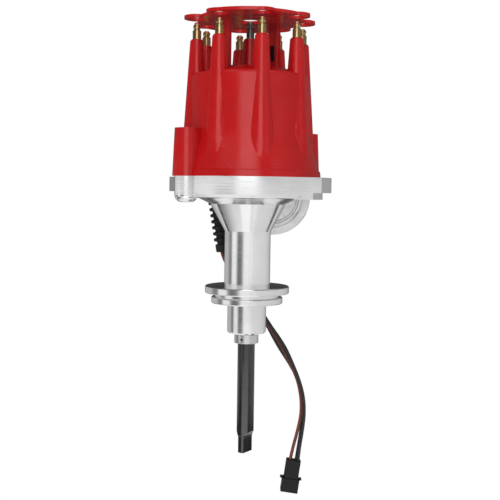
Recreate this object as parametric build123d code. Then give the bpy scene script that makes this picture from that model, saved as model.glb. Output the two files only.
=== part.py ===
from build123d import *
import os
from math import atan2, cos, degrees, hypot, pi, radians, sin, sqrt, tan

# Ignition distributor for a V8: a billet aluminium housing with a tall eight-tower cap, a tang-driven
# shaft with centrifugal advance, and a magnetic pickup that a vacuum can turns.
# Millimetres. The origin is the seat, the underside of the lower flange, on the shaft axis, and +Z is
# up to the cap. Angles go round from the front (-Y) towards +X.

# ---------------------------------------------------------------- driving dimensions
TINY = 0.02                       # line-to-line allowance between pieces that only touch
RUNNING = 0.04                    # radial clearance of a shaft in its bush
GAP = 0.3                         # clearance between pieces that move past each other

# shaft and drive
SHAFT_R = 6.35                    # half-inch shaft
SHAFT_REACH = 69.2                # bare shaft below the collar
TANG_LENGTH = 12.5
TANG_THICK = 4.7
TANG_TURN = 55.6                  # angle that the tang's broad face looks towards
COLLAR_WALL = 2.55
COLLAR_H = 6.6
WASHER_T = 0.8
ROLL_PIN_R = 1.6
ROLL_PIN_TURN = -22.5

# housing, from the pilot up
PILOT_R = 14.3
PILOT_LENGTH = 22.3
PILOT_CHAMFER = 1.2
LOWER_FLANGE_R = 26.3
LOWER_FLANGE_T = 4.7
GROOVE_R = 23.6
GROOVE_W = 2.7
UPPER_FLANGE_R = 31.0
UPPER_FLANGE_T = 5.3
FLANGE_ROUND = 0.8
NECK_R = 16.9
NECK_LENGTH = 40.1
CONE_R = 27.8
CONE_H = 19.9
CONE_SPREAD_R = 10.0              # wider part of the cone under the bowl
CONE_SPREAD_H = 4.7
BOWL_R = 51.6
BOWL_WALL = 5.1
BOWL_FLOOR_T = 4.1
BOWL_H = 14.8                     # underside of the bowl to its rim
BOWL_CHAMFER = 2.0
CONE_BLEND = 7.0
FLANGE_LUG_TURN = 64.2            # two trapezoid lugs, opposite each other
FLANGE_LUG_OUT = 9.6              # reach of a lug past the bowl
FLANGE_LUG_END = 20.0
FLANGE_LUG_T = 10.8
LUG_ROOT_HALF = 27.2              # half width of a lug where it leaves the bowl
PAD_BACK = 6.4                    # step from a lug's end back to its pad
PAD_ROOT_HALF = 19.6
PAD_DROP = 4.8
SCREW_TURN = -59.0                # cap screws, opposite each other
SCREW_INSET = 0.4                 # screw circle inside the bowl's outer radius
SCREW_R = 2.4
SCREW_HEAD_R = 4.0
SCREW_HEAD_H = 4.2
SCREW_GRIP = 14.0
BOSS_R = 8.2
BOSS_DROP = 18.4                  # front screw boss, from the rim down
BOSS_ROUND = 5.0

# bearings
BUSH_WALL = 3.1
BUSH_LENGTH = 40.0
BEARING_R = 14.29                 # half-inch bore ball bearing
BEARING_H = 7.94
RACE_WALL = 2.3
BALL_SINK = 0.23                  # depth of a ball in each race's groove
BALL_COUNT = 9
BOSS_WALL = 3.2
BEARING_BOSS_H = 2.5              # boss above the bowl's floor

# cap
CAP_LIP = 1.2                     # cap's rim outside the bowl
CAP_RIM_H = 4.3
CAP_FLARE_IN = 3.2                # steps in from the rim to the flare, the body and the shoulder
CAP_FLARE_H = 11.8
CAP_BODY_IN = 5.3
CAP_BREAK_H = 28.4
CAP_BREAK_ROUND = 40.0
CAP_SHOULDER_IN = 0.3
CAP_SHOULDER_H = 72.0
CAP_DOME_H = 81.2
CAP_WALL = 2.7
CAP_SPIGOT = 2.0
TOWER_COUNT = 8
TOWER_TURN = 11.8
TOWER_INSET = 4.9                 # tower circle inside the shoulder
TOWER_H = 97.8
TOWER_TOP_R = 4.75
TOWER_DRAFT = 0.065               # growth of a tower's radius per millimetre down
TOWER_CHAMFER = 0.9
COIL_TOWER_H = 100.1
COIL_TOWER_R = 4.4
EAR_R = 9.1
EAR_H = 33.6
EAR_DRAFT = 1.5
EAR_WELL_R = 5.0
EAR_FLOOR_H = 9.0

# terminals
TERMINAL_R = 3.1
TERMINAL_H = 11.3
TERMINAL_BULB_IN = 0.4            # bulb smaller than the base
TERMINAL_NECK_IN = 0.85
SHANK_R = 2.0
INSERT_R = 2.1
INSERT_LOW = 55.0                 # underside of the inner contacts above the cap's base
COIL_TERMINAL_R = 2.85
COIL_TERMINAL_H = 12.4
BUTTON_R = 2.3

# spark lead retainer
RING_T = 2.2
RING_TOP = 114.5                  # above the cap's base
RING_LOBE_R = 9.2
RING_HOLE_R = 6.2
RING_WEB_IN = 0.6                 # plain edge inside the lead holes' circle
RING_WIDE_OUT = 8.3               # filled spans between lobes, outside that circle
RING_HALF_OUT = 5.5
COIL_HOLE_R = 8.0
LEG_R = 23.2
LEG_TURN = -50.0
LEG_W = 10.4
LEG_T = 4.0
LEG_WINDOW_W = 5.0
LEG_WINDOW_H = 11.4
LEG_WINDOW_TOP = 97.6
LEG_SEAT = 1.5

# centrifugal advance
SLEEVE_WALL = 2.6
SPACER_H = 2.6
RELUCTOR_RISE = 5.4               # above the sleeve's foot
RELUCTOR_H = 5.0
RELUCTOR_R = 17.0
RELUCTOR_ROOT_WALL = 2.5
RELUCTOR_TOOTH_W = 2.2
PLATE_RISE = 16.0                 # above the reluctor's underside
PLATE_T = 2.4
PLATE_R = 30.0
PLATE_WAIST = 34.0
WEIGHT_T = 5.0
WEIGHT_IN_R = 15.2
WEIGHT_OUT_R = 28.6
PIVOT_R = 24.5
PIVOT_TURN = 118.0
PIVOT_PIN_R = 2.2
WEIGHT_SPAN = 96.0
WEIGHT_LEAD = 14.0                # how far a weight runs past its pivot
CAM_R = 14.6
CAM_W = 11.0
CAM_TURN = 0.0
SPRING_R = 2.0
SPRING_PIN_R = 1.1

# rotor
ROTOR_BASE_T = 3.2
ROTOR_BASE_R = 30.0
ROTOR_NECK_R = 12.0
ROTOR_POST_R = 21.5
ROTOR_POST_TURN = 150.0
ROTOR_LAP = 1.8                   # blade above the foot of the inner contacts
ROTOR_ARM_T = 3.4
ROTOR_ARM_W = 13.0
ROTOR_TIP_GAP = 0.9
BLADE_T = 1.2
BLADE_W = 8.0

# pickup and vacuum advance
PICKUP_PLATE_T = 1.6
PICKUP_PLATE_IN = 2.1             # clearance inside the module
PICKUP_TURN = -38.0
PICKUP_W = 14.0
PICKUP_H = 13.5
PULL_R = 19.5                     # lever arm of the vacuum pull
PULL_SWING = 10.0                 # degrees of plate travel
CAN_R = 30.0
CAN_STAND = 10.4                  # crimped rim's plane outside the bowl
CAN_LIFT = 0.3                    # can's axis above the bowl's underside
CAN_FACE = 3.0                    # front plate proud of the rim's plane
CAN_RIM_W = 5.6
CAN_BEAD_IN = 4.4                 # bead inside the flat rim's inner edge
CAN_BEAD = 0.9
CAN_END_IN = 10.4                 # back's flat end inside the same edge
FOLD_IN = 7.2                     # middle of the diaphragm's fold inside the same edge
FOLD_CUP_GAP = 4.5                # from that middle to the cup's edge
CUP_SPRING_GAP = 3.1
CAN_SHEET = 1.2
CAN_DEPTH = 17.0
NIPPLE_R = 3.0
NIPPLE_LENGTH = 16.0
ROD_T = 1.6
ROD_W = 6.0
ROD_RISE = 1.8                    # rod above the pickup plate

BRACKET_W = 19.0
BRACKET_LAP = 13.1                # bracket under the bowl, in from its edge
BRACKET_SCREW_R = 1.4

# ignition module
MODULE_IN = 0.9                   # clearance inside the bowl's wall
MODULE_W = 10.0
MODULE_SPAN = 74.0
MODULE_TURN = -101.0
MODULE_H = 15.0

# harness
RELIEF_AT = (-25.8, 32.5)         # where the strain relief leaves the bowl's underside
RELIEF_SINK = 1.2
RELIEF_RUN = (6.9, 1.1, -43.0)    # from its top to its mouth
RELIEF_NECK_R = 4.3
RELIEF_ROOT_R = 3.6
RELIEF_RIB_R = 5.7
RELIEF_RIBS = 7
RELIEF_PITCH = 4.7
RELIEF_COLLAR_R = 5.2
RELIEF_COLLAR_H = 6.0
RELIEF_MOUTH_R = 3.1
WIRE_R = 1.25
PLUG_TOP = (37.4, 18.0, -122.6)
PLUG_LEAN = 7.9
PLUG_W = 11.0
PLUG_D = 7.6
PLUG_H = 24.6
PLUG_SKIRT_W = 13.2
PLUG_SKIRT_D = 9.4
PLUG_SKIRT_H = 10.4
PLUG_WALL = 1.1
PLUG_HOLE = 0.6                   # clearance of a wire in its hole
PLUG_HOLE_DEPTH = 3.4
PIN_R = 0.75
PIN_REACH = 3.8

# ---------------------------------------------------------------- levels worked out from them
GROOVE_Z = LOWER_FLANGE_T
UPPER_FLANGE_Z = GROOVE_Z + GROOVE_W
NECK_Z = UPPER_FLANGE_Z + UPPER_FLANGE_T
CONE_Z = NECK_Z + NECK_LENGTH
BOWL_Z = CONE_Z + CONE_H + CONE_SPREAD_H
RIM_Z = BOWL_Z + BOWL_H
FLOOR_Z = BOWL_Z + BOWL_FLOOR_T
BOWL_IN_R = BOWL_R - BOWL_WALL
FLANGE_LUG_REACH = BOWL_R + FLANGE_LUG_OUT
PAD_REACH = FLANGE_LUG_REACH - PAD_BACK
SCREW_CIRCLE_R = BOWL_R - SCREW_INSET
CAP_BASE_R = BOWL_R + CAP_LIP
CAP_FLARE_R = CAP_BASE_R - CAP_FLARE_IN
CAP_BODY_R = CAP_FLARE_R - CAP_BODY_IN
CAP_SHOULDER_R = CAP_BODY_R - CAP_SHOULDER_IN
TOWER_CIRCLE_R = CAP_SHOULDER_R - TOWER_INSET
MODULE_OUT_R = BOWL_IN_R - MODULE_IN
MODULE_IN_R = MODULE_OUT_R - MODULE_W
PICKUP_PLATE_R = MODULE_IN_R - PICKUP_PLATE_IN
SPIGOT_R = BOWL_R - 2.2
BEARING_BOSS_R = BEARING_R + BOSS_WALL
BEARING_TOP_Z = FLOOR_Z + BEARING_BOSS_H
BEARING_Z = BEARING_TOP_Z - BEARING_H
BALL_R = (BEARING_R - SHAFT_R) / 2 - RACE_WALL + BALL_SINK
BUSH_R = SHAFT_R + RUNNING + BUSH_WALL
COLLAR_R = SHAFT_R + COLLAR_WALL
COLLAR_TOP_Z = -PILOT_LENGTH - WASHER_T - 2 * TINY
COLLAR_LOW_Z = COLLAR_TOP_Z - COLLAR_H
TANG_Z = COLLAR_LOW_Z - SHAFT_REACH
SHAFT_LOW_Z = TANG_Z - TANG_LENGTH
SLEEVE_R = SHAFT_R + RUNNING + SLEEVE_WALL
SLEEVE_LOW = BEARING_TOP_Z + SPACER_H
RELUCTOR_Z = SLEEVE_LOW + RELUCTOR_RISE
RELUCTOR_ROOT_R = SLEEVE_R + RELUCTOR_ROOT_WALL
PLATE_Z = RELUCTOR_Z + PLATE_RISE
WEIGHT_Z = PLATE_Z + PLATE_T + GAP
WEIGHT_MID = PIVOT_TURN - WEIGHT_SPAN / 2 + WEIGHT_LEAD
SHAFT_TOP_Z = WEIGHT_Z + WEIGHT_T + 0.6
SPRING_Z = WEIGHT_Z + WEIGHT_T + GAP + SPRING_R
ROTOR_BASE_Z = SPRING_Z + SPRING_R + GAP
CAP_Z = RIM_Z
ROTOR_TOP_Z = CAP_Z + INSERT_LOW + ROTOR_LAP
ROD_REST = PULL_R * sin(radians(PULL_SWING / 2))
ROD_X = PULL_R * cos(radians(PULL_SWING / 2))
CAN_X = ROD_X
CAN_Y = BOWL_R + CAN_STAND
CAN_Z = BOWL_Z + CAN_LIFT
BRACKET_Y = BOWL_R - BRACKET_LAP
PICKUP_PLATE_Z = FLOOR_Z + GAP
ROD_Z = PICKUP_PLATE_Z + PICKUP_PLATE_T + ROD_RISE
RELIEF_TOP = (*RELIEF_AT, BOWL_Z + RELIEF_SINK)
RELIEF_END = tuple(a + b for a, b in zip(RELIEF_TOP, RELIEF_RUN))
RACE_BALL_R = (SHAFT_R + BEARING_R) / 2
TOWERS = [TOWER_TURN + 360 / TOWER_COUNT * i for i in range(TOWER_COUNT)]

PARTS = {}


# ---------------------------------------------------------------- helpers
def turned(*corners):
    """Solid of revolution about Z. A corner is (radius, height) or (radius, height, rounding)."""
    points = [(corner[0], 0, corner[1]) for corner in corners]
    radii = [corner[2] if len(corner) > 2 else 0 for corner in corners]
    return revolve(make_face(FilletPolyline(*points, radius=radii, close=True)), Axis.Z)


def polar(radius, angle, height=0.0):
    """Point at an angle from the front (-Y), positive towards +X."""
    return (radius * sin(radians(angle)), -radius * cos(radians(angle)), height)


def swung(shape, angle):
    """A shape built at the front, carried round the axis to its angle."""
    return Rot(0, 0, angle) * shape


def prism(points, low, high, rounding=0.0):
    """Upright prism on a plan outline, with its upright edges rounded."""
    radii = [rounding] * len(points)
    face = make_face(FilletPolyline(*[(x, y, 0) for x, y in points], radius=radii, close=True))
    return Pos(0, 0, low) * extrude(face, high - low)


def drum(radius, low, high, at=(0, 0)):
    """Upright cylinder between two levels."""
    return Pos(at[0], at[1], (low + high) / 2) * Cylinder(radius, high - low)


def tube(outer, inner, low, high, at=(0, 0)):
    return drum(outer, low, high, at) - drum(inner, low - 1, high + 1, at)


def slab(width, depth, low, high, at=(0, 0)):
    """Upright box centred on a point in plan."""
    return Pos(at[0], at[1], (low + high) / 2) * Box(width, depth, high - low)


def ring_sector(inner, outer, span, turn, low, high):
    """Part of an upright ring that spans an angle about its middle."""
    half = span / 2
    ends = [polar(inner, turn - half), polar(outer, turn - half), polar(outer, turn),
            polar(outer, turn + half), polar(inner, turn + half), polar(inner, turn)]
    edges = [Line(ends[0], ends[1]), ThreePointArc(ends[1], ends[2], ends[3]),
             Line(ends[3], ends[4]), ThreePointArc(ends[4], ends[5], ends[0])]
    return Pos(0, 0, low) * extrude(make_face(edges), high - low)


def keep(name, *solids):
    """A finished piece, or a group of alike separate pieces, under its own name."""
    found = [solid for item in solids for solid in item.solids()]
    PARTS[name] = found[0] if len(found) == 1 else Compound(children=found)
    PARTS[name].label = name


# ---------------------------------------------------------------- housing
def lug_outline(reach, end_width, root_half, root_reach):
    """Plan of a trapezoid lug at the front of the bowl, reaching into the bowl's wall."""
    inside = BOWL_IN_R - 4
    return [(-root_half, -root_reach), (-end_width / 2, -reach), (end_width / 2, -reach),
            (root_half, -root_reach), (root_half * 0.7, -inside), (-root_half * 0.7, -inside)]


def make_housing():
    cone_out = CONE_R + CONE_SPREAD_R
    body = turned(
        (0, -PILOT_LENGTH), (PILOT_R - PILOT_CHAMFER, -PILOT_LENGTH),
        (PILOT_R, -PILOT_LENGTH + PILOT_CHAMFER), (PILOT_R, 0),
        (LOWER_FLANGE_R, 0, FLANGE_ROUND), (LOWER_FLANGE_R, GROOVE_Z, FLANGE_ROUND),
        (GROOVE_R, GROOVE_Z), (GROOVE_R, UPPER_FLANGE_Z),
        (UPPER_FLANGE_R, UPPER_FLANGE_Z, FLANGE_ROUND), (UPPER_FLANGE_R, NECK_Z, FLANGE_ROUND),
        (NECK_R, NECK_Z), (NECK_R, CONE_Z), (CONE_R, CONE_Z + CONE_H),
        (cone_out, BOWL_Z, CONE_BLEND), (BOWL_R - BOWL_CHAMFER, BOWL_Z),
        (BOWL_R, BOWL_Z + BOWL_CHAMFER), (BOWL_R, RIM_Z), (0, RIM_Z))
    lug_root = sqrt(BOWL_R ** 2 - LUG_ROOT_HALF ** 2)
    pad_root = sqrt((BOWL_R - 3) ** 2 - PAD_ROOT_HALF ** 2)
    for turn in (FLANGE_LUG_TURN, FLANGE_LUG_TURN + 180):
        lug = prism(lug_outline(FLANGE_LUG_REACH, FLANGE_LUG_END, LUG_ROOT_HALF, lug_root),
                    RIM_Z - FLANGE_LUG_T, RIM_Z)
        lug = fillet(lug.edges().filter_by(Axis.Z).group_by(Axis.Y)[0], 1.0)
        pad = prism(lug_outline(PAD_REACH, FLANGE_LUG_END - 1.5, PAD_ROOT_HALF, pad_root),
                    RIM_Z - FLANGE_LUG_T - PAD_DROP, RIM_Z - FLANGE_LUG_T)
        body += swung(lug + pad, turn)
    for turn, low in ((SCREW_TURN, RIM_Z - BOSS_DROP), (SCREW_TURN + 180, BOWL_Z)):
        boss = turned((0, low), (BOSS_R, low, BOSS_ROUND), (BOSS_R, RIM_Z), (0, RIM_Z))
        body += Pos(*polar(SCREW_CIRCLE_R, turn)) * boss

    hollow = drum(BOWL_IN_R, FLOOR_Z, RIM_Z + 1) - drum(BEARING_BOSS_R, FLOOR_Z - 1, BEARING_TOP_Z)
    body -= hollow
    body -= drum(SPIGOT_R, RIM_Z - CAP_SPIGOT, RIM_Z + 1)
    body -= drum(BEARING_R, BEARING_Z, BEARING_TOP_Z + 1)
    body -= drum(BUSH_R - 0.8, BUSH_LENGTH - PILOT_LENGTH - 1, BEARING_Z + 1)
    body -= drum(BUSH_R, -PILOT_LENGTH - 1, BUSH_LENGTH - PILOT_LENGTH)
    for turn in (SCREW_TURN, SCREW_TURN + 180):
        x, y, _ = polar(SCREW_CIRCLE_R, turn)
        body -= drum(SCREW_R, RIM_Z - SCREW_GRIP, RIM_Z + 1, (x, y))
    body -= Pos(ROD_X, (BOWL_IN_R + BOWL_R) / 2 - 2, ROD_Z + ROD_T / 2) * Box(ROD_W + 3, 18, ROD_T + 2.4)
    body -= relief_drill(RELIEF_NECK_R)
    for x, y in bracket_holes():
        body -= drum(BRACKET_SCREW_R, BOWL_Z - 1, BOWL_Z + 3, (x, y))
    keep("housing", body)


def make_bushes():
    keep("lower_bush", tube(BUSH_R, SHAFT_R + RUNNING, -PILOT_LENGTH, BUSH_LENGTH - PILOT_LENGTH))
    groove_r = BALL_R + GAP
    groove = turned(*[(RACE_BALL_R + groove_r * cos(radians(a)), groove_r * sin(radians(a)))
                      for a in range(0, 360, 30)])
    groove = Pos(0, 0, BEARING_Z + BEARING_H / 2) * groove
    outer = tube(BEARING_R, BEARING_R - RACE_WALL, BEARING_Z, BEARING_TOP_Z)
    inner = tube(SHAFT_R + RACE_WALL, SHAFT_R, BEARING_Z, BEARING_TOP_Z)
    keep("bearing_outer_race", outer - groove)
    keep("bearing_inner_race", inner - groove)
    balls = [Pos(*polar(RACE_BALL_R, 360 / BALL_COUNT * i, BEARING_Z + BEARING_H / 2)) * Sphere(BALL_R)
             for i in range(BALL_COUNT)]
    keep("bearing_balls", *balls)


# ---------------------------------------------------------------- cap
def tower_cone(grow=0.0, low=CAP_FLARE_H - 6):
    """Drafted column that is a tower above the deck and a rib below it, about Z."""
    height = TOWER_H - low
    foot = TOWER_TOP_R + TOWER_DRAFT * height + grow
    top = TOWER_TOP_R + grow
    return turned((0, low), (foot, low), (top + TOWER_DRAFT * 1.2, TOWER_H - 1.2),
                  (top - TOWER_CHAMFER, TOWER_H), (0, TOWER_H))


def make_cap():
    dome_edge = (CAP_SHOULDER_R - 1.4, CAP_SHOULDER_H + 0.9)
    outside = [Line((0, 0, 0), (CAP_BASE_R, 0, 0)),
               FilletPolyline((CAP_BASE_R, 0, 0), (CAP_BASE_R - 0.5, 0, CAP_RIM_H),
                              (CAP_BASE_R - 1.3, 0, CAP_RIM_H + 0.6), (CAP_FLARE_R, 0, CAP_FLARE_H),
                              (CAP_BODY_R, 0, CAP_BREAK_H), (CAP_SHOULDER_R, 0, CAP_SHOULDER_H - 0.8),
                              (dome_edge[0], 0, dome_edge[1]), radius=[0, 0, 0, CAP_BREAK_ROUND, 0]),
               ThreePointArc((dome_edge[0], 0, dome_edge[1]),
                             (dome_edge[0] * 0.55, 0, dome_edge[1] + (CAP_DOME_H - dome_edge[1]) * 0.7),
                             (0, 0, CAP_DOME_H)),
               Line((0, 0, CAP_DOME_H), (0, 0, 0))]
    body = revolve(make_face(outside), Axis.Z)
    for turn in TOWERS:
        x, y, _ = polar(TOWER_CIRCLE_R, turn)
        body += Pos(x, y, 0) * tower_cone()
    body += turned((0, CAP_DOME_H - 8), (COIL_TOWER_R + 2.4, CAP_DOME_H - 8),
                   (COIL_TOWER_R + 1.6, CAP_DOME_H + 1), (COIL_TOWER_R + 0.5, COIL_TOWER_H - 1.2),
                   (COIL_TOWER_R - 0.4, COIL_TOWER_H), (0, COIL_TOWER_H))
    for turn in (SCREW_TURN, SCREW_TURN + 180):
        body += swung(ear_solid(), turn)

    wall = CAP_WALL
    roof = CAP_SHOULDER_H - wall - 0.6
    inside = [Line((0, 0, -1), (SPIGOT_R - 2.4, 0, -1)),
              Polyline((SPIGOT_R - 2.4, 0, -1), (SPIGOT_R - 2.4, 0, CAP_RIM_H - 1),
                       (SCREW_CIRCLE_R - EAR_WELL_R - 2, 0, EAR_FLOOR_H),
                       (CAP_BODY_R - wall, 0, CAP_BREAK_H),
                       (CAP_SHOULDER_R - wall, 0, roof)),
              ThreePointArc((CAP_SHOULDER_R - wall, 0, roof),
                            ((CAP_SHOULDER_R - wall) * 0.55, 0, roof + (CAP_DOME_H - 3.2 - roof) * 0.7),
                            (0, 0, CAP_DOME_H - 3.2)),
              Line((0, 0, CAP_DOME_H - 3.2), (0, 0, -1))]
    body -= revolve(make_face(inside), Axis.Z)
    body += tube(SPIGOT_R - TINY, SPIGOT_R - 2.4, -CAP_SPIGOT + TINY, 1)

    # moulded bosses under the deck, which hold the inner contacts and the centre button
    boss_low = INSERT_LOW + 8
    under_dome = revolve(make_face(inside), Axis.Z)
    for turn in TOWERS:
        x, y, _ = polar(TOWER_CIRCLE_R, turn)
        body += drum(INSERT_R + 2.6, boss_low, CAP_DOME_H, (x, y)) & under_dome
    body += tube(6.4, BUTTON_R + 0.7, CAP_DOME_H - 15.0, CAP_DOME_H - 2.5)

    for turn in TOWERS:
        x, y, _ = polar(TOWER_CIRCLE_R, turn)
        body -= drum(SHANK_R, boss_low - 1, TOWER_H + 1, (x, y))
        body -= drum(INSERT_R, boss_low - 5, boss_low + 2.5, (x, y))
    body -= drum(SHANK_R, CAP_DOME_H - 4, COIL_TOWER_H + 1)
    body -= drum(BUTTON_R + 0.7, CAP_DOME_H - 16.0, CAP_DOME_H - 3.4)
    for turn in (SCREW_TURN, SCREW_TURN + 180):
        x, y, _ = polar(SCREW_CIRCLE_R, turn)
        body -= drum(EAR_WELL_R, EAR_FLOOR_H, EAR_H + 1, (x, y))
        body -= drum(SCREW_R + GAP, -CAP_SPIGOT - 1, EAR_FLOOR_H + 1, (x, y))
    for turn in (LEG_TURN, LEG_TURN + 180):
        body -= swung(leg_foot(TINY), turn)
    keep("cap", Pos(0, 0, CAP_Z) * body)


def ear_solid():
    """Hold-down ear at the front: a drafted column that runs inwards into the cap's wall."""
    low, high = 0.0, EAR_H
    sections = []
    for level, radius in ((low, EAR_R + EAR_DRAFT / 2), (high, EAR_R - EAR_DRAFT / 2)):
        centre = -SCREW_CIRCLE_R
        inner = -(CAP_BODY_R - 6)
        edges = [Line((radius, inner, level), (-radius, inner, level)),
                 Line((-radius, inner, level), (-radius, centre, level)),
                 ThreePointArc((-radius, centre, level), (0, centre - radius, level),
                               (radius, centre, level)),
                 Line((radius, centre, level), (radius, inner, level))]
        sections.append(make_face(edges))
    return loft(sections)


def make_cap_screws():
    """Cap screws that sit at the bottom of the ears' wells."""
    screws = []
    for turn in (SCREW_TURN, SCREW_TURN + 180):
        x, y, _ = polar(SCREW_CIRCLE_R, turn)
        seat = CAP_Z + EAR_FLOOR_H
        screw = turned((0, RIM_Z - SCREW_GRIP + 1), (SCREW_R - 0.6, RIM_Z - SCREW_GRIP + 1),
                       (SCREW_R, RIM_Z - SCREW_GRIP + 1.8), (SCREW_R, seat),
                       (SCREW_HEAD_R, seat), (SCREW_HEAD_R, seat + SCREW_HEAD_H, 1.0),
                       (0, seat + SCREW_HEAD_H))
        screw -= Pos(0, 0, seat + SCREW_HEAD_H) * Box(1.2, 9, 2.4)
        screws.append(Pos(x, y, 0) * screw)
    keep("cap_screws", *screws)


# ---------------------------------------------------------------- terminals
def post(radius, low, height):
    """Spark lead terminal about Z: a plain base, a waist and a rounded bulb."""
    top = low + height
    bulb = radius - TERMINAL_BULB_IN
    neck = radius - TERMINAL_NECK_IN
    return turned((0, low), (radius, low), (radius, low + height * 0.56, 0.4), (neck, low + height * 0.6),
                  (neck, low + height * 0.66), (bulb, low + height * 0.72, 0.5), (bulb, top - 1.4, 1.2),
                  (bulb * 0.5, top), (0, top))


def make_terminals():
    posts = []
    for turn in TOWERS:
        x, y, _ = polar(TOWER_CIRCLE_R, turn)
        tower = CAP_Z + TOWER_H
        boss_low = CAP_Z + INSERT_LOW + 8
        piece = post(TERMINAL_R, tower, TERMINAL_H)
        piece += drum(SHANK_R, boss_low, tower + 0.5)
        piece += drum(INSERT_R, CAP_Z + INSERT_LOW, boss_low + 2.5)
        posts.append(Pos(x, y, 0) * piece)
    keep("spark_terminals", *posts)

    low = CAP_Z + COIL_TOWER_H
    coil = post(COIL_TERMINAL_R, low, COIL_TERMINAL_H)
    coil += drum(SHANK_R, CAP_Z + CAP_DOME_H - 3.4, low + 0.5)
    keep("coil_terminal", coil)

    pocket = CAP_Z + CAP_DOME_H - 3.4
    button_top = CAP_Z + CAP_DOME_H - 13.0
    button = turned((0, button_top - 6.2), (BUTTON_R - 0.7, button_top - 6.2, 0.5),
                    (BUTTON_R, button_top - 4.6), (BUTTON_R, button_top), (0, button_top))
    keep("centre_button", button)
    coils = 6
    pitch = (pocket - button_top) / coils
    wave = [(BUTTON_R + 0.4, button_top)]
    for i in range(coils):
        wave.append((BUTTON_R - 0.1, button_top + pitch * i + 0.05 * pitch))
        wave.append((BUTTON_R + 0.4, button_top + pitch * (i + 0.5)))
    wave += [(BUTTON_R - 0.1, pocket), (BUTTON_R - 0.9, pocket), (BUTTON_R - 0.9, button_top)]
    keep("button_spring", turned(*wave))


# ---------------------------------------------------------------- spark lead retainer
def leg_plan(grow=0.0):
    return [(-LEG_W / 2 - grow, -LEG_R + LEG_T / 2 + grow), (-LEG_W / 2 - grow, -LEG_R - LEG_T / 2 - grow),
            (LEG_W / 2 + grow, -LEG_R - LEG_T / 2 - grow), (LEG_W / 2 + grow, -LEG_R + LEG_T / 2 + grow)]


def leg_foot(grow=0.0):
    """Room that a leg's foot takes in the cap's deck."""
    return prism(leg_plan(grow), leg_floor(), RING_TOP, 0.8)


def leg_floor():
    sphere = (CAP_SHOULDER_R ** 2 / (CAP_DOME_H - CAP_SHOULDER_H) + CAP_DOME_H - CAP_SHOULDER_H) / 2
    drop = sphere - (sphere ** 2 - (LEG_R + LEG_T) ** 2) ** 0.5
    return CAP_DOME_H - drop - LEG_SEAT


def make_retainer():
    low, high = RING_TOP - RING_T, RING_TOP
    web_r = TOWER_CIRCLE_R - RING_WEB_IN
    ring = drum(web_r, low, high)
    for turn in TOWERS:
        x, y, _ = polar(TOWER_CIRCLE_R, turn)
        ring += drum(RING_LOBE_R, low, high, (x, y))
    step = 360 / TOWER_COUNT
    for turn in (TOWER_TURN, TOWER_TURN + 180):
        ring += ring_sector(web_r - 8, TOWER_CIRCLE_R + RING_WIDE_OUT, step, turn - step / 2, low, high)
        ring += ring_sector(web_r - 8, TOWER_CIRCLE_R + RING_HALF_OUT, step, turn + step / 2, low, high)
    ring -= drum(COIL_HOLE_R, low - 1, high + 1)
    for turn in TOWERS:
        x, y, _ = polar(TOWER_CIRCLE_R, turn)
        ring -= drum(RING_HOLE_R, low - 1, high + 1, (x, y))
    latches = []
    for turn in (LEG_TURN, LEG_TURN + 180):
        leg = prism(leg_plan(), leg_floor(), high, 0.8)
        window_low = LEG_WINDOW_TOP - LEG_WINDOW_H
        window = slab(LEG_WINDOW_W, LEG_T, window_low, LEG_WINDOW_TOP, (0, -LEG_R + 1.6))
        latch = slab(LEG_WINDOW_W, 1.8, window_low, LEG_WINDOW_TOP, (0, -LEG_R + 1.6 - LEG_T / 2 + 0.9))
        ring += swung(leg - window, turn)
        latches.append(swung(latch, turn))
    keep("wire_retainer", Pos(0, 0, CAP_Z) * ring)
    keep("retainer_latches", *[Pos(0, 0, CAP_Z) * latch for latch in latches])


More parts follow.
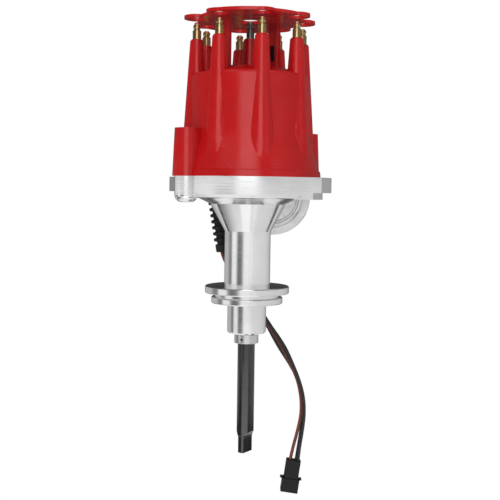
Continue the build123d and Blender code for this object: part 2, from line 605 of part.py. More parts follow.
# ---------------------------------------------------------------- shaft
def make_shaft():
    shaft = turned((0, SHAFT_LOW_Z), (SHAFT_R - 0.25, SHAFT_LOW_Z), (SHAFT_R - 0.25, TANG_Z - 0.4),
                   (SHAFT_R, TANG_Z + 0.4), (SHAFT_R, SHAFT_TOP_Z, 0.6), (0, SHAFT_TOP_Z))
    for side in (-1, 1):
        cutter = Box(20, 12, TANG_LENGTH) + Pos(0, 0, TANG_LENGTH / 2) * Rot(0, 90, 0) * Cylinder(6, 20)
        cutter = Pos(0, side * (TANG_THICK / 2 + 6), SHAFT_LOW_Z + TANG_LENGTH / 2 - 2) * cutter
        shaft -= swung(cutter, TANG_TURN)
    cross = swung(Rot(90, 0, 0) * Cylinder(ROLL_PIN_R, 40), ROLL_PIN_TURN)
    cross = Pos(0, 0, COLLAR_TOP_Z - COLLAR_H / 2) * cross
    keep("shaft", shaft - cross)
    collar = turned((SHAFT_R, COLLAR_LOW_Z), (COLLAR_R, COLLAR_LOW_Z, 0.5), (COLLAR_R, COLLAR_TOP_Z, 0.4),
                    (SHAFT_R, COLLAR_TOP_Z))
    keep("drive_collar", collar - cross)
    pin = swung(Rot(90, 0, 0) * Cylinder(ROLL_PIN_R, 2 * COLLAR_R - 0.4), ROLL_PIN_TURN)
    pin -= swung(Rot(90, 0, 0) * Cylinder(ROLL_PIN_R * 0.5, 60), ROLL_PIN_TURN)
    keep("roll_pin", Pos(0, 0, COLLAR_TOP_Z - COLLAR_H / 2) * pin)
    keep("thrust_washer", tube(COLLAR_R, SHAFT_R + RUNNING, COLLAR_TOP_Z, COLLAR_TOP_Z + WASHER_T))
    keep("shaft_spacer", tube(SHAFT_R + 1.9, SHAFT_R, BEARING_TOP_Z, SLEEVE_LOW - TINY))

    cam = drum(CAM_R, WEIGHT_Z, WEIGHT_Z + WEIGHT_T) & slab(60, CAM_W, WEIGHT_Z, WEIGHT_Z + WEIGHT_T)
    cam += drum(SHAFT_R + 2.4, WEIGHT_Z, WEIGHT_Z + WEIGHT_T)
    for side in (-1, 1):
        cam += drum(SPRING_PIN_R, WEIGHT_Z, SPRING_Z + 1.2, (side * (CAM_R - 2.4), 0))
    cam -= drum(SHAFT_R, WEIGHT_Z - 1, WEIGHT_Z + WEIGHT_T + 1)
    keep("advance_cam", swung(cam, CAM_TURN))


# ---------------------------------------------------------------- centrifugal advance
def make_advance():
    step = 360 / TOWER_COUNT
    reluctor = drum(RELUCTOR_ROOT_R, RELUCTOR_Z, RELUCTOR_Z + RELUCTOR_H)
    tooth = slab(RELUCTOR_TOOTH_W, RELUCTOR_R, RELUCTOR_Z, RELUCTOR_Z + RELUCTOR_H, (0, -RELUCTOR_R / 2))
    for i in range(TOWER_COUNT):
        reluctor += swung(tooth, TOWER_TURN + step * i)
    reluctor &= drum(RELUCTOR_R, RELUCTOR_Z - 1, RELUCTOR_Z + RELUCTOR_H + 1)
    reluctor -= drum(SLEEVE_R, RELUCTOR_Z - 1, RELUCTOR_Z + RELUCTOR_H + 1)
    keep("reluctor", reluctor)

    plate = drum(PLATE_R, PLATE_Z, PLATE_Z + PLATE_T)
    plate += drum(SLEEVE_R, SLEEVE_LOW, PLATE_Z + 1)
    for turn in (0, 180):
        pivot = polar(PIVOT_R, PIVOT_TURN + turn)
        plate += drum(PIVOT_PIN_R, PLATE_Z, WEIGHT_Z + WEIGHT_T + 1.2, pivot[:2])
        seat = polar(ROTOR_POST_R, ROTOR_POST_TURN + turn)
        plate += drum(4.0, PLATE_Z, ROTOR_BASE_Z, seat[:2])
        plate -= drum(1.5, PLATE_Z + 4, ROTOR_BASE_Z + 1, seat[:2])
    plate -= drum(SHAFT_R + RUNNING, SLEEVE_LOW - 1, PLATE_Z + PLATE_T + 1)
    keep("advance_plate", plate)

    springs = []
    for turn, name in ((0, "advance_weight_a"), (180, "advance_weight_b")):
        keep(name, swung(weight_solid(), turn))
        springs.append(swung(spring_solid(), turn))
    keep("advance_springs", *springs)


def weight_solid():
    """Flyweight on the right: a curved arm that hugs the cam from its pivot round to its free end."""
    body = ring_sector(WEIGHT_IN_R, WEIGHT_OUT_R, WEIGHT_SPAN, WEIGHT_MID, WEIGHT_Z, WEIGHT_Z + WEIGHT_T)
    body = fillet(body.edges().filter_by(Axis.Z), 2.5)
    x, y, _ = polar(PIVOT_R, PIVOT_TURN)
    body += drum(PIVOT_PIN_R + 2.4, WEIGHT_Z, WEIGHT_Z + WEIGHT_T, (x, y))
    body -= drum(PIVOT_PIN_R + RUNNING, WEIGHT_Z - 1, WEIGHT_Z + WEIGHT_T + 1, (x, y))
    x, y, _ = polar(spring_post_r(), spring_post_turn())
    body += drum(SPRING_PIN_R, WEIGHT_Z, SPRING_Z + 1.2, (x, y))
    return body


def spring_post_r():
    return (WEIGHT_IN_R + WEIGHT_OUT_R) / 2 + 1


def spring_post_turn():
    return PIVOT_TURN - WEIGHT_SPAN + 30


def spring_solid():
    """Close-wound spring from the weight's post to the cam's post, with a loop at each end."""
    ax, ay, _ = polar(spring_post_r(), spring_post_turn())
    bx, by = CAM_R - 2.4, 0
    length = hypot(bx - ax, by - ay)
    loop = SPRING_PIN_R + 0.15
    wire = 0.45
    coil_start, coil_end = loop + 2 * wire, length - loop - 2 * wire
    coils = 5
    pitch = (coil_end - coil_start) / coils
    wave = [(SPRING_R, coil_start)]
    for i in range(coils):
        wave.append((SPRING_R - 0.45, coil_start + pitch * (i + 0.02)))
        wave.append((SPRING_R, coil_start + pitch * (i + 0.5)))
    wave += [(SPRING_R - 0.45, coil_end), (SPRING_R - 0.95, coil_end), (SPRING_R - 0.95, coil_start)]
    coil = Rot(0, 90, 0) * turned(*wave)
    ends = tube(loop + 2 * wire, loop, -wire, wire) + tube(loop + 2 * wire, loop, -wire, wire, (length, 0))
    hooks = Pos(coil_start + 0.4, 0, 0) * Box(1.2, 2 * SPRING_R - 1.2, 2 * wire)
    hooks += Pos(coil_end - 0.4, 0, 0) * Box(1.2, 2 * SPRING_R - 1.2, 2 * wire)
    spring = coil + ends + hooks
    return Pos(ax, ay, SPRING_Z) * Rot(0, 0, degrees(atan2(by - ay, bx - ax))) * spring


def make_rotor():
    inner_contact_r = TOWER_CIRCLE_R - INSERT_R
    tip = inner_contact_r - ROTOR_TIP_GAP
    arm_z = ROTOR_TOP_Z
    rotor = drum(ROTOR_BASE_R, ROTOR_BASE_Z, ROTOR_BASE_Z + ROTOR_BASE_T)
    rotor &= slab(2 * ROTOR_BASE_R, PLATE_WAIST, 0, 300) + drum(ROTOR_NECK_R + 4, 0, 300)
    rotor = swung(rotor, ROTOR_POST_TURN + 90)
    rotor += turned((0, ROTOR_BASE_Z), (ROTOR_NECK_R + 4, ROTOR_BASE_Z),
                    (ROTOR_NECK_R + 4, ROTOR_BASE_Z + ROTOR_BASE_T), (ROTOR_NECK_R + 1.5, ROTOR_BASE_Z + 8),
                    (ROTOR_NECK_R - 2, arm_z), (0, arm_z))
    rotor -= turned((0, ROTOR_BASE_Z - 1), (ROTOR_NECK_R + 1, ROTOR_BASE_Z - 1),
                    (ROTOR_NECK_R - 1, ROTOR_BASE_Z + 8), (ROTOR_NECK_R - 5, arm_z - 4), (0, arm_z - 4))
    arm = slab(ROTOR_ARM_W, tip + 12, arm_z - ROTOR_ARM_T, arm_z, (0, -(tip - 12) / 2 + 1))
    arm = fillet(arm.edges().filter_by(Axis.Z), 4)
    rotor += swung(arm, TOWER_TURN)
    for turn in (0, 180):
        x, y, _ = polar(ROTOR_POST_R, ROTOR_POST_TURN + turn)
        rotor -= drum(1.8, ROTOR_BASE_Z - 1, ROTOR_BASE_Z + 10, (x, y))
        rotor -= drum(3.6, ROTOR_BASE_Z + ROTOR_BASE_T, ROTOR_BASE_Z + 12, (x, y))
    keep("rotor", rotor)

    blade = slab(BLADE_W, tip + 4, arm_z, arm_z + BLADE_T, (0, -(tip - 4) / 2))
    blade = fillet(blade.edges().filter_by(Axis.Z), 1.5)
    button_low = CAP_Z + CAP_DOME_H - 13.0 - 6.2
    spring_leaf = drum(3.2, arm_z + BLADE_T, button_low - GAP)
    keep("rotor_blade", swung(blade + spring_leaf, TOWER_TURN))
    screws = []
    for turn in (0, 180):
        x, y, _ = polar(ROTOR_POST_R, ROTOR_POST_TURN + turn)
        seat = ROTOR_BASE_Z + ROTOR_BASE_T
        screw = turned((0, ROTOR_BASE_Z - 6), (1.5, ROTOR_BASE_Z - 6), (1.5, seat), (3.2, seat),
                       (3.2, seat + 2.2, 0.7), (0, seat + 2.2))
        screws.append(Pos(x, y, 0) * screw)
    keep("rotor_screws", *screws)


# ---------------------------------------------------------------- pickup
def make_pickup():
    top = PICKUP_PLATE_Z + PICKUP_PLATE_T
    plate = tube(PICKUP_PLATE_R, BEARING_BOSS_R + GAP, PICKUP_PLATE_Z, top)
    pin_x, pin_y = ROD_X, -ROD_REST
    plate += drum(1.5, PICKUP_PLATE_Z, ROD_Z + ROD_T + 1.2, (pin_x, pin_y))
    plate += drum(2.6, PICKUP_PLATE_Z, ROD_Z - GAP, (pin_x, pin_y))
    plate -= drum(BEARING_BOSS_R + GAP, PICKUP_PLATE_Z - 1, BEARING_TOP_Z + GAP)
    keep("pickup_plate", plate)
    pole_r = RELUCTOR_R + 0.5
    body = slab(PICKUP_W, 9.5, top, top + PICKUP_H, (0, -(pole_r + 3.5 + 4.75)))
    body = fillet(body.edges().filter_by(Axis.Z), 1.2)
    keep("pickup_coil", swung(body, PICKUP_TURN))
    pole_z = RELUCTOR_Z + RELUCTOR_H / 2
    pole = Pos(0, -(pole_r + 1.75), pole_z) * Box(2.4, 3.5, 4.4)
    keep("pickup_pole", swung(pole, PICKUP_TURN))


def make_module():
    block = ring_sector(MODULE_IN_R, MODULE_OUT_R, MODULE_SPAN, MODULE_TURN, FLOOR_Z, FLOOR_Z + MODULE_H)
    block = fillet(block.edges().filter_by(Axis.Z), 2.0)
    keep("ignition_module", block)


# ---------------------------------------------------------------- vacuum advance
def lathe_y(*corners):
    """Solid of revolution about the can's axis; a corner is (radius, y) or (radius, y, rounding)."""
    solid = turned(*[(c[0], c[1]) if len(c) < 3 else c for c in corners])
    return Pos(CAN_X, 0, CAN_Z) * Rot(-90, 0, 0) * solid


def make_vacuum():
    face = CAN_Y - CAN_FACE
    t = CAN_SHEET
    hole = ROD_W / 2 + 1.6
    rim_in = CAN_R - CAN_RIM_W
    end_r = rim_in - CAN_END_IN
    fold_r = rim_in - FOLD_IN
    cup_r = fold_r - FOLD_CUP_GAP
    spring_r = cup_r - CUP_SPRING_GAP
    bead_r = rim_in - CAN_BEAD_IN
    bead = face + CAN_BEAD
    front = lathe_y((hole, face), (bead_r - 1.3, face), (bead_r - 0.5, bead),
                    (bead_r + 0.5, bead), (bead_r + 1.3, face), (rim_in - 1.6, face, 0.8),
                    (rim_in, CAN_Y - t), (CAN_R, CAN_Y - t, 1.0), (CAN_R, CAN_Y + 2.8, 1.0),
                    (CAN_R - 3.4, CAN_Y + 2.8), (CAN_R - 3.4, CAN_Y + 2 * t), (CAN_R - t, CAN_Y + 2 * t),
                    (CAN_R - t, CAN_Y), (rim_in - 0.4, CAN_Y), (rim_in - 2.0, face + t),
                    (bead_r + 1.9, face + t), (bead_r + 1.1, bead + t), (bead_r - 1.1, bead + t),
                    (bead_r - 1.9, face + t), (hole, face + t))
    keep("vacuum_can_front", front)
    back = lathe_y((0, CAN_Y + CAN_DEPTH + t), (0, CAN_Y + CAN_DEPTH), (end_r, CAN_Y + CAN_DEPTH, 2.0),
                   (rim_in - 3.4, CAN_Y + 6, 2.0), (rim_in - 2.4, CAN_Y + 1.2), (CAN_R - t, CAN_Y + 1.2),
                   (CAN_R - t, CAN_Y + 2 * t), (rim_in - 1.2, CAN_Y + 2 * t),
                   (rim_in - 2.2, CAN_Y + 6.8, 2.0), (end_r + 0.8, CAN_Y + CAN_DEPTH + t, 2.5))
    nipple = lathe_y((0, CAN_Y + CAN_DEPTH), (5, CAN_Y + CAN_DEPTH), (5, CAN_Y + CAN_DEPTH + t + 2.0),
                     (NIPPLE_R, CAN_Y + CAN_DEPTH + t + 2.0), (NIPPLE_R, CAN_Y + CAN_DEPTH + NIPPLE_LENGTH),
                     (NIPPLE_R - 0.8, CAN_Y + CAN_DEPTH + NIPPLE_LENGTH + t),
                     (0, CAN_Y + CAN_DEPTH + NIPPLE_LENGTH + t))
    shell = back + nipple
    shell -= lathe_y((0, CAN_Y), (1.2, CAN_Y), (1.2, CAN_Y + 60), (0, CAN_Y + 60))
    keep("vacuum_can_back", shell)
    low, high = CAN_Y + 0.05, CAN_Y + t - 0.05
    fold = 2.3
    membrane = lathe_y((cup_r + GAP, low), (fold_r - 2.2, low), (fold_r - 1.0, low + fold),
                       (fold_r + 1.0, low + fold), (fold_r + 2.2, low), (CAN_R - t - 0.1, low),
                       (CAN_R - t - 0.1, high), (fold_r + 2.8, high), (fold_r + 1.6, high + fold),
                       (fold_r - 1.6, high + fold), (fold_r - 2.8, high), (cup_r + GAP, high))
    keep("diaphragm", membrane)

    rod_low = CAN_Z - ROD_T / 2
    end_y = -ROD_REST - 4.0
    bend_y = CAN_Y - 11.0
    side = [(end_y, ROD_Z), (bend_y, ROD_Z), (bend_y + 4.0, rod_low), (CAN_Y + 1.4, rod_low),
            (CAN_Y + 1.4, rod_low + ROD_T), (bend_y + 4.6, rod_low + ROD_T), (bend_y + 0.6, ROD_Z + ROD_T),
            (end_y, ROD_Z + ROD_T)]
    strip = make_face(Polyline(*[(0, y, z) for y, z in side], close=True))
    rod = Pos(ROD_X - ROD_W / 2, 0, 0) * extrude(strip, ROD_W, dir=(1, 0, 0))
    eye = Pos(ROD_X, -ROD_REST, ROD_Z + ROD_T / 2)
    slot = Box(0.4, 2 * (1.5 + RUNNING), 9) + Pos(0.2, 0, 0) * Cylinder(1.5 + RUNNING, 9) \
        + Pos(-0.2, 0, 0) * Cylinder(1.5 + RUNNING, 9)
    rod -= eye * slot
    keep("vacuum_rod", rod)
    cup = lathe_y((0, CAN_Y + 1.4), (cup_r, CAN_Y + 1.4), (cup_r, CAN_Y + 4.4), (cup_r - 0.8, CAN_Y + 4.4),
                  (cup_r - 0.8, CAN_Y + 2.2), (0, CAN_Y + 2.2))
    keep("diaphragm_cup", cup)
    spring_low, spring_high = CAN_Y + 2.2, CAN_Y + CAN_DEPTH
    coils = 6
    pitch = (spring_high - spring_low) / coils
    wave = [(spring_r, spring_low)]
    for i in range(coils):
        wave.append((spring_r - 1.0, spring_low + pitch * (i + 0.04)))
        wave.append((spring_r, spring_low + pitch * (i + 0.5)))
    wave += [(spring_r - 1.0, spring_high), (spring_r - 2.2, spring_high), (spring_r - 2.2, spring_low)]
    keep("vacuum_spring", lathe_y(*wave))

    strap = slab(BRACKET_W, face - BRACKET_Y, BOWL_Z - 1.8, BOWL_Z, (CAN_X, (face + BRACKET_Y) / 2))
    strap += slab(BRACKET_W, 1.8, CAN_Z - 12, BOWL_Z, (CAN_X, face - 0.9))
    strap -= slab(ROD_W + 3, 20, CAN_Z - 4, BOWL_Z + 1, (CAN_X, face - 3.6))
    screws = []
    for x, y in bracket_holes():
        strap -= drum(BRACKET_SCREW_R, BOWL_Z - 3, BOWL_Z + 1, (x, y))
        screw = turned((0, BOWL_Z + 2.6), (BRACKET_SCREW_R, BOWL_Z + 2.6), (BRACKET_SCREW_R, BOWL_Z - 1.8),
                       (2.6, BOWL_Z - 1.8), (2.6, BOWL_Z - 3.8, 0.7), (0, BOWL_Z - 3.8))
        screws.append(Pos(x, y, 0) * screw)
    keep("vacuum_bracket", strap)
    keep("bracket_screws", *screws)


def bracket_holes():
    """Centres of the bracket's two screws, either side of the rod."""
    return [(CAN_X + side * 5.5, BRACKET_Y + 2.8) for side in (-1, 1)]


# ---------------------------------------------------------------- harness
def relief_frame():
    """Frame on the strain relief's axis: its origin at the top, its Z running down to the mouth."""
    top, end = Vector(*RELIEF_TOP), Vector(*RELIEF_END)
    return Plane(origin=top, x_dir=(1, 0, 0.14), z_dir=(end - top).normalized())


def relief_length():
    return (Vector(*RELIEF_END) - Vector(*RELIEF_TOP)).length


def relief_drill(radius):
    length = 14
    return relief_frame() * (Pos(0, 0, -1) * Cylinder(radius, length))


def make_relief():
    length = relief_length()
    collar = length - RELIEF_COLLAR_H
    corners = [(0, -1.8), (RELIEF_NECK_R - TINY, -1.8), (RELIEF_NECK_R - TINY, 2.2)]
    for i in range(RELIEF_RIBS):
        middle = collar - 3.6 - RELIEF_PITCH * (RELIEF_RIBS - 1 - i)
        corners += [(RELIEF_ROOT_R, middle - 1.5), (RELIEF_RIB_R, middle - 1.1, 0.9),
                    (RELIEF_RIB_R, middle + 1.1, 0.9), (RELIEF_ROOT_R, middle + 1.5)]
    corners += [(RELIEF_ROOT_R, collar), (RELIEF_COLLAR_R, collar, 0.6), (RELIEF_COLLAR_R, length, 0.6),
                (0, length)]
    body = turned(*corners) - drum(RELIEF_MOUTH_R, length - 6.0, length + 1)
    keep("strain_relief", relief_frame() * body)


# Each wire's points, from inside the strain relief to inside the plug.
WIRES = {
    "harness_wire_left": [
        (-20.9, 32.4, 40.5), (-19.6, 32.7, 31.9), (-12.0, 34.5, 19.4), (-3.2, 36.3, 6.5),
        (6.4, 35.8, -5.8), (15.8, 32.8, -19.0), (26.9, 29.5, -36.2), (33.6, 27.5, -49.0),
        (39.8, 25.8, -61.8), (42.7, 24.2, -74.7), (43.1, 22.4, -87.5),
        (40.4, 20.6, -100.3), (36.4, 18.8, -114.7), (34.3, 18.0, -125.2)],
    "harness_wire_right": [
        (-18.2, 32.9, 41.0), (-16.9, 33.1, 32.4), (-9.2, 34.0, 20.8), (-0.7, 35.0, 8.4),
        (7.9, 33.6, -4.6), (16.5, 30.0, -18.5), (29.3, 26.8, -35.7), (35.3, 24.8, -48.5),
        (40.8, 23.1, -61.3), (44.5, 21.4, -74.1), (45.3, 19.6, -86.8), (43.9, 17.9, -99.6),
        (41.4, 16.1, -113.9), (40.4, 16.6, -126.0)],
    "harness_wire_rear": [
        (-20.0, 35.0, 40.7), (-18.6, 35.3, 32.1), (-10.5, 37.2, 19.9), (-2.8, 39.2, 6.8),
        (5.5, 38.5, -6.4), (14.9, 35.6, -19.6), (24.3, 32.2, -36.7), (33.1, 30.2, -49.5),
        (40.5, 28.6, -62.4), (43.6, 26.9, -75.3), (44.6, 25.1, -88.1),
        (43.1, 23.4, -101.0), (40.8, 21.6, -115.4), (39.0, 19.4, -125.9)],
}


def make_harness():
    """Wires as straight runs joined by the widest arcs that fit between neighbours."""
    for name, points in WIRES.items():
        stops = [Vector(*point) for point in points]
        radii = []
        for before, here, after in zip(stops, stops[1:], stops[2:]):
            turn = radians((here - before).get_angle(after - here))
            run = min((here - before).length, (after - here).length)
            radii.append(0.45 * run / tan(turn / 2))
        path = FilletPolyline(*stops, radius=radii)
        section = Plane(origin=path @ 0, z_dir=path % 0) * Circle(WIRE_R)
        wire = sweep(section, path=path)
        share = wire.volume / (path.length * pi * WIRE_R ** 2)
        print(name, "length", round(path.length, 1), "smallest radius", round(min(radii), 1),
              "volume share", round(share, 4))
        keep(name, wire)


def plug_frame():
    """Frame at the middle of the plug's top: its Z runs down to the mouth, its X across."""
    lean = radians(PLUG_LEAN)
    return Plane(origin=PLUG_TOP, x_dir=(cos(lean), 0, -sin(lean)), z_dir=(-sin(lean), 0, -cos(lean)))


def make_plug():
    """Three-way plug: a plain upper body, a wider skirt with a locking ear each side, and pins inside."""
    frame = plug_frame()
    neck = PLUG_H - PLUG_SKIRT_H
    floor = neck + PLUG_WALL
    upper = fillet(slab(PLUG_W, PLUG_D, 0, neck + 1).edges().filter_by(Axis.Z), 0.7)
    skirt = fillet(slab(PLUG_SKIRT_W, PLUG_SKIRT_D, neck, PLUG_H).edges().filter_by(Axis.Z), 0.9)
    body = upper + skirt
    for side in (-1, 1):
        body += Pos(side * PLUG_SKIRT_W / 2, 0, neck + 0.2) * Rot(0, side * 20, 0) * Box(3.2, 4.2, 1.3)
    body -= slab(PLUG_SKIRT_W - 2 * PLUG_WALL, PLUG_SKIRT_D - 2 * PLUG_WALL, floor, PLUG_H + 1)
    pins = []
    for points in WIRES.values():
        end = frame.to_local_coords(Vector(*points[-1]))
        body -= drum(WIRE_R + PLUG_HOLE, -1, PLUG_HOLE_DEPTH, (end.X, end.Y))
        pins.append(frame * drum(PIN_R, floor, floor + PIN_REACH, (end.X, end.Y)))
    keep("plug", frame * body)
    keep("plug_pins", *pins)


make_housing()
make_bushes()
make_cap()
make_cap_screws()
make_terminals()
make_retainer()
make_shaft()
make_advance()
make_rotor()
make_pickup()
make_module()
make_vacuum()
make_relief()
make_harness()
make_plug()

os.makedirs("parts", exist_ok=True)
for name, shape in PARTS.items():
    export_step(shape, f"parts/{name}.step")
    print(name, len(shape.solids()), round(shape.volume), "valid", shape.is_valid)
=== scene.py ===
import math

import bpy
from mathutils import Matrix, Vector


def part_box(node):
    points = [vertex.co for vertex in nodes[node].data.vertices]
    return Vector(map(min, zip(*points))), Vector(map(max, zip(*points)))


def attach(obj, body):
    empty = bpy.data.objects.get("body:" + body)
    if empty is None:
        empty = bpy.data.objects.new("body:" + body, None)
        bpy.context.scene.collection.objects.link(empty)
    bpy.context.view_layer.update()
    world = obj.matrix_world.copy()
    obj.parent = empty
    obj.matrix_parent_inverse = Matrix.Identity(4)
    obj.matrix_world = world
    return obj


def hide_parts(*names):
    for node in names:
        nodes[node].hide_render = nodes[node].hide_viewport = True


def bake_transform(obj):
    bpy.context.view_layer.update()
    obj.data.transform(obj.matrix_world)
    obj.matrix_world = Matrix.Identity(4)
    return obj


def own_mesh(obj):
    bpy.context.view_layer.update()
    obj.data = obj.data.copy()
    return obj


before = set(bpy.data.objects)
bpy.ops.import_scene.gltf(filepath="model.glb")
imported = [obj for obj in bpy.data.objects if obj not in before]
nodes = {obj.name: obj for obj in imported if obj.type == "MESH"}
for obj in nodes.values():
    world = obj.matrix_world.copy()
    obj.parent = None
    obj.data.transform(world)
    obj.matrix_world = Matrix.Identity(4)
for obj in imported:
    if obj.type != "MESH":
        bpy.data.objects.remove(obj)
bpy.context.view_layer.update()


def put(name, data):
    """A new object in the scene, with this data."""
    thing = bpy.data.objects.new(name, data)
    bpy.context.scene.collection.objects.link(thing)
    return thing


def fill(node, values):
    """Set a node's sockets by name."""
    for socket, value in values.items():
        node.inputs[socket].default_value = value


# ---------------------------------------------------------------- camera
EYE = (0, -0.680, 0.0806)
PITCH, YAW, ROLL = 0.0612, 0.0027, 0.0134   # radians: down, to the right, about the line of sight
LENS, SENSOR = 66.63, 36                    # mm


def make_camera():
    """Level with the bowl, looking slightly down."""
    forward = Vector((math.sin(YAW) * math.cos(PITCH), math.cos(YAW) * math.cos(PITCH), -math.sin(PITCH)))
    right = Vector((math.cos(YAW), -math.sin(YAW), 0))
    up = right.cross(forward)
    across = right * math.cos(ROLL) + up * math.sin(ROLL)
    upward = up * math.cos(ROLL) - right * math.sin(ROLL)
    data = bpy.data.cameras.new("camera")
    data.lens = LENS
    data.sensor_width = SENSOR
    camera = put("camera", data)
    turn = Matrix((across, upward, -forward)).transposed()
    camera.matrix_world = Matrix.Translation(EYE) @ turn.to_4x4()
    bpy.context.scene.camera = camera


# ---------------------------------------------------------------- materials
NOISE_ROUGH = 0.55
ROUGH_SPAN = (0.3, 0.7)     # part of the noise's range that the roughness takes up
TINT_SPAN = (0.35, 0.65)    # the same for the second colour


class Paint:
    """A node material made in steps: a principled shader, then noise that drives its sockets."""

    def __init__(self, name, color, rough, metal=0.0, gloss=0.5):
        self.mat = bpy.data.materials.new(name)
        self.mat.use_nodes = True
        self.tree = self.mat.node_tree
        self.shader = self.tree.nodes["Principled BSDF"]
        self.place = self.add("ShaderNodeTexCoord").outputs["Object"]
        self.color = color
        self.normal = None
        fill(self.shader, {"Base Color": (*color, 1), "Roughness": rough, "Metallic": metal,
                           "Specular IOR Level": gloss})

    def add(self, kind, **settings):
        node = self.tree.nodes.new(kind)
        for key, value in settings.items():
            setattr(node, key, value)
        return node

    def link(self, out, into):
        self.tree.links.new(out, into)

    def noise(self, scale, detail, stretch=(1, 1, 1)):
        """Noise over the object's own coordinates. A larger stretch makes it finer along that axis."""
        mapping = self.add("ShaderNodeMapping")
        fill(mapping, {"Scale": stretch})
        self.link(self.place, mapping.inputs["Vector"])
        node = self.add("ShaderNodeTexNoise")
        fill(node, {"Scale": scale, "Detail": detail, "Roughness": NOISE_ROUGH})
        self.link(mapping.outputs["Vector"], node.inputs["Vector"])
        return node.outputs["Fac"]

    def spread(self, value, low, high, span):
        """The value's span, stretched to run from low to high."""
        node = self.add("ShaderNodeMapRange")
        fill(node, {"From Min": span[0], "From Max": span[1], "To Min": low, "To Max": high})
        self.link(value, node.inputs["Value"])
        return node.outputs["Result"]

    def rough_by(self, value, low, high):
        self.link(self.spread(value, low, high, ROUGH_SPAN), self.shader.inputs["Roughness"])

    def tint_by(self, value, other):
        mix = self.add("ShaderNodeMix", data_type="RGBA")
        fill(mix, {"A": (*self.color, 1), "B": (*other, 1)})
        self.link(self.spread(value, 0, 1, TINT_SPAN), mix.inputs["Factor"])
        self.link(mix.outputs["Result"], self.shader.inputs["Base Color"])

    def bump_by(self, value, depth):
        """A bump, in metres, on top of the one before."""
        node = self.add("ShaderNodeBump")
        fill(node, {"Strength": 1.0, "Distance": depth})
        self.link(value, node.inputs["Height"])
        if self.normal:
            self.link(self.normal, node.inputs["Normal"])
        self.normal = node.outputs["Normal"]
        self.link(self.normal, self.shader.inputs["Normal"])


def darker(color, share):
    return tuple(share * part for part in color)


def moulded_red():
    """Cap plastic: slight cloudiness, a fine moulded skin and faint waves."""
    paint = Paint("moulded_red", (0.47, 0.004, 0.005), rough=0.22)
    paint.rough_by(paint.noise(scale=90, detail=4), low=0.17, high=0.28)
    paint.tint_by(paint.noise(scale=22, detail=3), other=(0.42, 0.003, 0.004))
    paint.bump_by(paint.noise(scale=700, detail=3), depth=0.00003)
    paint.bump_by(paint.noise(scale=60, detail=2), depth=0.00008)
    return paint.mat


def polished_aluminium():
    """Housing metal, with turning lines round it."""
    paint = Paint("polished_aluminium", (0.83, 0.83, 0.83), rough=0.14, metal=1.0)
    turned = paint.noise(scale=26, detail=4, stretch=(1, 1, 40))
    paint.rough_by(turned, low=0.11, high=0.2)
    paint.tint_by(paint.noise(scale=30, detail=3), other=(0.74, 0.74, 0.75))
    paint.bump_by(turned, depth=0.000012)
    return paint.mat


def black_oxide():
    """Shaft finish: a thin black coat, ground along its length."""
    paint = Paint("black_oxide", (0.006, 0.006, 0.007), rough=0.16, gloss=0.75)
    paint.rough_by(paint.noise(scale=260, detail=4, stretch=(1, 1, 0.2)), low=0.12, high=0.2)
    paint.tint_by(paint.noise(scale=150, detail=4), other=(0.012, 0.012, 0.013))
    paint.bump_by(paint.noise(scale=900, detail=3, stretch=(1, 1, 4)), depth=0.00001)
    return paint.mat


def metal(name, color, rough, grain=600, stretch=(1, 1, 1)):
    """Bare or plated metal: one fine grain in its roughness and bump, and broader stains."""
    paint = Paint(name, color, rough=rough, metal=1.0)
    fine = paint.noise(scale=grain, detail=4, stretch=stretch)
    paint.rough_by(fine, low=rough * 0.75, high=rough * 1.35)
    paint.tint_by(paint.noise(scale=grain * 0.2, detail=3), other=darker(color, 0.82))
    paint.bump_by(fine, depth=0.000008)
    return paint.mat


def plastic(name, color, rough, grain=500, depth=0.00002, other=None, gloss=0.5):
    """Moulded plastic or rubber, made the same way with a deeper grain."""
    paint = Paint(name, color, rough=rough, gloss=gloss)
    fine = paint.noise(scale=grain, detail=4)
    paint.rough_by(fine, low=rough * 0.8, high=rough * 1.25)
    paint.tint_by(paint.noise(scale=grain * 0.15, detail=3), other=other or darker(color, 0.8))
    paint.bump_by(fine, depth=depth)
    return paint.mat


def wire_cover(name, color, other):
    return plastic(name, color, rough=0.38, grain=900, depth=0.00001, other=other)


red = moulded_red()
bright = polished_aluminium()
brass = metal("terminal_brass", (0.70, 0.50, 0.24), rough=0.24)
steel = metal("plain_steel", (0.55, 0.55, 0.54), rough=0.3)
plated = metal("zinc_plate", (0.70, 0.70, 0.70), rough=0.3, grain=160)
oxide = black_oxide()
black = plastic("black_moulding", (0.006, 0.006, 0.007), rough=0.36, gloss=0.22)
rubber = plastic("black_rubber", (0.008, 0.008, 0.008), rough=0.5, grain=700, depth=0.00003, gloss=0.35)
brown_cover = wire_cover("brown_cover", (0.13, 0.022, 0.012), (0.17, 0.034, 0.018))
black_cover = wire_cover("black_cover", (0.006, 0.006, 0.006), (0.010, 0.010, 0.010))
dark_cover = wire_cover("dark_cover", (0.010, 0.010, 0.014), (0.016, 0.015, 0.022))
post = metal("coil_post", (0.20, 0.21, 0.20), rough=0.26)
bronze = metal("bush_bronze", (0.42, 0.27, 0.13), rough=0.36)
collar = metal("collar_steel", (0.62, 0.62, 0.62), rough=0.2, grain=240, stretch=(1, 1, 6))
race = metal("race_steel", (0.72, 0.72, 0.72), rough=0.12)

